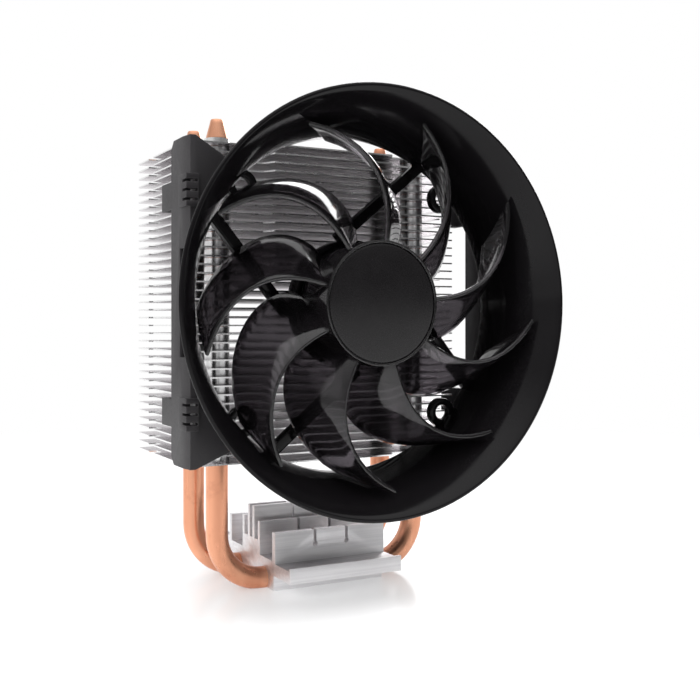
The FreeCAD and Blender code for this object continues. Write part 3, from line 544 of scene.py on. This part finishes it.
def makeBell(size):
    low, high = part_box("fan_shroud")
    back, front = high.y / mm, low.y / mm
    rimRadius = (high.x - low.x) / 2 / mm
    bell = turnedPiece("bellMoulding", bellProfile(size, back, front, rimRadius), size["turnSteps"])
    roundEdges(bell, 0.15)
    parts = [bell]
    run = math.sqrt(((size["throatRadius"] + size["seatRadius"]) / 2) ** 2 - size["strutOffset"] ** 2)
    innerCorner = size["strutOffset"] - size["strutSide"] / 2
    start = math.sqrt((size["motorRadius"] - size["motorRim"] / 2) ** 2 - innerCorner ** 2)
    for quarter in range(4):
        angle = math.radians(size["strutAngle"]) + quarter * math.pi / 2
        along = Vector((math.cos(angle), 0, math.sin(angle)))
        across = Vector((-math.sin(angle), 0, math.cos(angle)))
        centre = fanAxis + (along * (start + run) / 2 + across * size["strutOffset"]) * mm
        centre.y = (back - size["strutSide"] / 2) * mm
        deselectAll()
        bpy.ops.mesh.primitive_cube_add(size=1, location=centre, rotation=(0, -angle, 0))
        strut = bpy.context.object
        strut.scale = ((run - start) * mm, size["strutSide"] * mm, size["strutSide"] * mm)
        placeInMesh(strut)
        roundEdges(strut, 0.45, 3)
        parts.append(strut)
        side = math.copysign(1, math.cos(math.pi / 4 + quarter * math.pi / 2))
        rise = math.copysign(1, math.sin(math.pi / 4 + quarter * math.pi / 2))
        place = fanAxis + Vector((side * size["eyeletPlace"], 0, rise * size["eyeletPlace"])) * mm
        eyelet = turnedPiece("eyelet", [
            (size["eyeletHole"], back), (size["eyeletRadius"], back),
            (size["eyeletRadius"], back - size["eyeletDepth"]),
            (size["eyeletHole"], back - size["eyeletDepth"]),
        ], 40, place)
        roundEdges(eyelet, 0.25)
        parts.append(eyelet)
    motor = turnedPiece("motorBase", [
        (size["tubeInner"], back), (size["motorRadius"], back), (size["motorRadius"], size["motorRimFront"]),
        (size["motorRadius"] - size["motorRim"], size["motorRimFront"]),
        (size["motorRadius"] - size["motorRim"], back - size["motorWall"]),
        (size["shoulder"], back - size["motorWall"]), (size["shoulder"], size["shoulderFront"]),
        (size["tubeOuter"], size["shoulderFront"]), (size["tubeOuter"], size["tubeFront"]),
        (size["tubeInner"], size["tubeFront"]),
    ], 72)
    roundEdges(motor, 0.25)
    parts.append(motor)
    bell = joinPieces("bellMoulding", parts)
    smoothShade(bell)
    settle(bell, "fan_frame", "gloss_black", glossBlack, "fan_shroud")


makeBell(bellSize)
print("bell made")


# impeller: hub, nine swept blades and the domed cap

fanSize = {
    "blades": 9, "rootRadius": 15.4, "tipFront": 48.0, "tipBack": 43.8, "front": -45.5, "back": -31.7,
    "wall": 1.2, "tipAngle": -4.7, "frontSweep": 30.0, "backSweep": 65.0, "spanSteps": 16,
    "frontPower": 2.2, "backPower": 1.8, "backShare": 0.8, "chordLines": 6,
    "hubRadius": 15.9, "hubWall": 1.0, "capRecess": 0.8, "capGap": 0.1, "hubSteps": 96,
    "bossRadius": 3.2, "bossLength": 1.7, "shaftRadius": 1.5, "shaftSocket": 0.4, "hubBack": -31.2,
    "capRounding": 0.35, "capEdge": 0.5, "domeSteps": 20,
}


def bladeLine(size, share):
    # a line from hub to tip, share 0 along the front edge and 1 along the back edge
    points = []
    for step in range(size["spanSteps"] + 1):
        span = step / size["spanSteps"]
        frontTurn = size["frontSweep"] * (1 - span ** size["frontPower"])
        backTurn = size["backSweep"] * (1 - size["backShare"] * span ** size["backPower"])
        reach = size["tipFront"] + share * (size["tipBack"] - size["tipFront"])
        radius = size["rootRadius"] + span * (reach - size["rootRadius"])
        angle = math.radians(size["tipAngle"] - frontTurn - share * (backTurn - frontTurn))
        along = size["front"] + share * (size["back"] - size["front"])
        points.append(Vector((radius * math.cos(angle), along, radius * math.sin(angle))) * mm + fanAxis)
    return points


def makeBlade(size):
    lines = []
    for index in range(size["chordLines"]):
        share = index / (size["chordLines"] - 1)
        lines.append(tracedLine("bladeLine", bladeLine(size, share)))
    blade = joinPieces("blade", lines)
    editAll(blade)
    bpy.ops.mesh.bridge_edge_loops()
    leaveEdit()
    cleanUp(blade)
    skin = blade.modifiers.new("wall", "SOLIDIFY")
    skin.thickness = size["wall"] * mm
    skin.offset = 0
    skin.use_even_offset = True
    makeActive(blade)
    bpy.ops.object.modifier_apply(modifier=skin.name)
    roundEdges(blade, 0.4, 3, 50)
    return blade


def makeImpeller(size):
    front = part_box("impeller")[0].y / mm
    back = size["hubBack"]
    seat = front + size["capRecess"]
    inside = seat + size["hubWall"]
    wallInner = size["hubRadius"] - size["hubWall"]
    capRadius = (capHigh.x - capLow.x) / 2 / mm
    hub = turnedPiece("hub", [
        (0, seat), (capRadius + size["capGap"], seat), (capRadius + size["capGap"], front),
        (size["hubRadius"], front), (size["hubRadius"], back), (wallInner, back), (wallInner, inside),
        (size["bossRadius"], inside), (size["bossRadius"], inside + size["bossLength"]),
        (size["shaftRadius"], inside + size["bossLength"]),
        (size["shaftRadius"], seat + size["shaftSocket"]), (0, seat + size["shaftSocket"]),
    ], size["hubSteps"])
    roundEdges(hub, 0.3, 3)
    parts = [hub]
    blade = makeBlade(size)
    for index in range(size["blades"]):
        copy = blade.copy()
        copy.data = blade.data.copy()
        bpy.context.scene.collection.objects.link(copy)
        editAll(copy)
        bpy.ops.transform.rotate(value=index * fullTurn / size["blades"], orient_axis="Y",
                                 center_override=fanAxis)
        leaveEdit()
        parts.append(copy)
    bpy.data.objects.remove(blade)
    impeller = joinPieces("impellerMoulding", parts)
    smoothShade(impeller, 40)
    settle(impeller, "rotor", "gloss_black", smokedBlade, "impeller")


def makeCap(size):
    front, back = capLow.y / mm, capHigh.y / mm
    radius = (capHigh.x - capLow.x) / 2 / mm
    rise = back - size["capEdge"] - front
    dome = (radius ** 2 + rise ** 2) / (2 * rise)
    profile = [(0, back), (radius, back)]
    for step in range(size["domeSteps"] + 1):
        away = radius * (1 - step / size["domeSteps"])
        profile.append((away, front + dome - math.sqrt(dome ** 2 - away ** 2)))
    cap = turnedPiece("hubCap", profile, size["hubSteps"])
    roundEdges(cap, size["capRounding"], 3, 40)
    smoothShade(cap)
    settle(cap, "rotor", "satin_black", satinBlack, "hub_cap")


makeImpeller(fanSize)
makeCap(fanSize)
print("impeller and cap made")


# heat pipes: ring extruded down a leg, spun round each bend and up the other leg

pipeSize = {"bend": 13.0, "taperStart": 121.5, "top": 127.0, "tipRadius": 1.75, "rounding": 0.45,
            "axisHeight": 2.4, "shoulder": 0.5, "shoulderShare": 0.97, "neck": 0.8, "neckFlare": 0.15,
            "ringSteps": 40, "bendSteps": 14}


def extrudeRing(step, scale=1.0):
    # moves on the selected ring and scales it about its own new middle
    bpy.ops.mesh.extrude_region_move(TRANSFORM_OT_translate={"value": step})
    if scale != 1.0:
        bpy.ops.transform.resize(value=(scale, scale, 1.0))


def makePipe(node, name, size):
    low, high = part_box(node)
    depth = (low.y + high.y) / 2
    radius = (high.y - low.y) / 2
    legLeft, legRight = low.x + radius, high.x - radius
    top, taper, bend = size["top"] * mm, size["taperStart"] * mm, size["bend"] * mm
    tip, rounding = size["tipRadius"] * mm, size["rounding"] * mm
    deselectAll()
    bpy.ops.mesh.primitive_circle_add(vertices=size["ringSteps"], radius=radius, fill_type="NOTHING",
                                      location=(legLeft, depth, taper))
    pipe = bpy.context.object
    placeInMesh(pipe)
    editAll(pipe)
    turnHeight = size["axisHeight"] * mm + bend
    extrudeRing((0, 0, turnHeight - taper))
    bpy.ops.mesh.spin(steps=size["bendSteps"], angle=math.pi / 2, axis=(0, 1, 0),
                      center=(legLeft + bend, depth, turnHeight))
    extrudeRing((legRight - legLeft - 2 * bend, 0, 0))
    bpy.ops.mesh.spin(steps=size["bendSteps"], angle=math.pi / 2, axis=(0, 1, 0),
                      center=(legRight - bend, depth, turnHeight))
    extrudeRing((0, 0, taper - turnHeight))
    leaveEdit()
    for leg in (legLeft, legRight):
        # each open end is drawn in to its crimped tip and closed
        editAll(pipe)
        bpy.ops.mesh.select_all(action="DESELECT")
        leaveEdit()
        for vertex in pipe.data.vertices:
            vertex.select = vertex.co.z > taper - 0.01 * mm and abs(vertex.co.x - leg) < 2 * radius
        bpy.ops.object.mode_set(mode="EDIT")
        bpy.ops.mesh.select_mode(type="VERT")
        extrudeRing((0, 0, size["shoulder"] * mm), size["shoulderShare"])
        cone = top - rounding - taper - (size["shoulder"] + size["neck"]) * mm
        neckRadius = tip + size["neckFlare"] * mm
        extrudeRing((0, 0, cone), neckRadius / (radius * size["shoulderShare"]))
        extrudeRing((0, 0, size["neck"] * mm), tip / neckRadius)
        extrudeRing((0, 0, rounding * 0.7), 0.88)
        extrudeRing((0, 0, rounding * 0.3), 0.62)
        bpy.ops.mesh.edge_face_add()
        leaveEdit()
    cleanUp(pipe)
    editAll(pipe)
    bpy.ops.mesh.bisect(plane_co=(0, 0, cadLow.z), plane_no=(0, 0, 1), clear_inner=True, use_fill=True,
                        threshold=fineGap)
    bpy.ops.mesh.select_all(action="SELECT")
    bpy.ops.mesh.normals_make_consistent(inside=False)
    leaveEdit()
    pipe.name = name
    smoothShade(pipe, 40)
    settle(pipe, "heatsink", "copper_pipe", copper, node)


makePipe("heatpipe_front", "heatPipeFront", pipeSize)
makePipe("heatpipe_rear", "heatPipeRear", pipeSize)
print("heat pipes made")


# base and rails: softened copies

softened = {
    "base_block": ("baseBlock", "heatsink", "base_metal", baseMetal, 0.16),
    "bracket_left": ("railLeft", "fan_frame", "matt_black", mattBlack, 0.22),
    "bracket_right": ("railRight", "fan_frame", "matt_black", mattBlack, 0.22),
}
for node, (name, body, slot, material, width) in softened.items():
    piece = cadCopy(node, name)
    roundEdges(piece, width, 2, 35)
    smoothShade(piece, 35)
    settle(piece, body, slot, material, node)
print("base and rails made")


# finishes for the CAD nodes that stay

kept = {
    "fan_shaft": (steel, "steel"), "shaft_clip": (steel, "steel"), "rotor_yoke": (steel, "steel"),
    "magnet_ring": (ferrite, "magnet"), "bearing_sleeve": (bronze, "bronze"), "oil_ring": (seal, "seal"),
    "bearing_cap": (seal, "seal"), "stator_core": (stackSteel, "steel"),
    "insulator_front": (insulator, "insulator"), "insulator_rear": (insulator, "insulator"),
    "stator_coils": (winding, "winding"), "circuit_board": (board, "board"), "board_parts": (chip, "chip"),
}
for name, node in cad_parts.items():
    if name.startswith("fin_"):
        kept[name] = (finSheet, "fin_sheet")
    if name in kept:
        material, slot = kept[name]
        node.data.materials.clear()
        node.data.materials.append(material)
print("kept nodes finished")


# studio

studio = {"floorRadius": 3.0, "litRadius": 0.16, "whiteRadius": 0.42, "ownLight": 0.32}


def makeFloor(size):
    deselectAll()
    bpy.ops.mesh.primitive_circle_add(vertices=64, radius=size["floorRadius"], fill_type="NGON",
                                      location=(0, 0, cadLow.z - 0.02 * mm))
    floor = bpy.context.object
    floor.name = "floor"
    placeInMesh(floor)
    material, tree, shader, place = startMaterial("paleFloor", Specular_IOR_Level=0.5)
    shader.inputs["Base Color"].default_value = (0.93, 0.93, 0.935, 1)
    shader.inputs["Roughness"].default_value = 0.22
    away = addNode(tree, "VectorMath", operation="LENGTH")
    plug(tree, away.inputs[0], place)
    share = spread(tree, away.outputs["Value"], size["litRadius"], size["whiteRadius"], size["ownLight"], 1.0)
    plain = addNode(tree, "Emission")
    plain.inputs["Color"].default_value = (1, 1, 1, 1)
    plain.inputs["Strength"].default_value = 1.0
    mixed = addNode(tree, "MixShader")
    plug(tree, mixed.inputs[0], share)
    plug(tree, mixed.inputs[1], shader.outputs[0])
    plug(tree, mixed.inputs[2], plain.outputs[0])
    plug(tree, tree.nodes["Material Output"].inputs["Surface"], mixed.outputs[0])
    floor.data.materials.append(material)


def makeWorld():
    # white to the eye; to the metal and gloss, bright behind and above and dim in front
    world = bpy.data.worlds.new("studioWorld")
    bpy.context.scene.world = world
    world.use_nodes = True
    tree = world.node_tree
    background = tree.nodes["Background"]
    path = addNode(tree, "LightPath").outputs["Is Camera Ray"]
    parts = addNode(tree, "SeparateXYZ")
    plug(tree, parts.inputs[0], addNode(tree, "TexCoord").outputs["Generated"])
    above = spread(tree, parts.outputs["Z"], 0.3, 0.95, 0.0, 1.7)
    behind = spread(tree, parts.outputs["Y"], 0.0, 0.8, 0.0, 0.85)
    beside = spread(tree, parts.outputs["X"], -0.5, -0.9, 0.0, 0.4)
    light = sums(tree, "MAXIMUM", sums(tree, "MAXIMUM", above, behind), sums(tree, "ADD", beside, 0.2))
    plug(tree, background.inputs["Color"], (1, 1, 1, 1))
    plug(tree, background.inputs["Strength"], sums(tree, "MAXIMUM", light, path))


def addSoftbox(name, place, aim, width, height, power, glossy=True):
    bpy.ops.object.light_add(type="AREA", location=place)
    box = bpy.context.object
    box.name = name
    box.data.shape = "RECTANGLE"
    box.data.size, box.data.size_y = width, height
    box.data.energy = power
    box.visible_glossy = glossy
    box.rotation_euler = (Vector(aim) - Vector(place)).to_track_quat("-Z", "Y").to_euler()


makeFloor(studio)
makeWorld()
addSoftbox("softboxLeft", (-0.75, -0.25, 0.45), (0, 0, 0.07), 0.7, 0.6, 6, False)
addSoftbox("softboxTop", (-0.1, -0.25, 0.9), (0, 0, 0.05), 0.8, 0.6, 5, False)
addSoftbox("softboxBack", (0.6, 0.6, 0.5), (0, 0, 0.07), 0.6, 0.6, 5)
view = bpy.context.scene.view_settings
view.view_transform = "Standard"
view.look = "None"
print("studio lit")
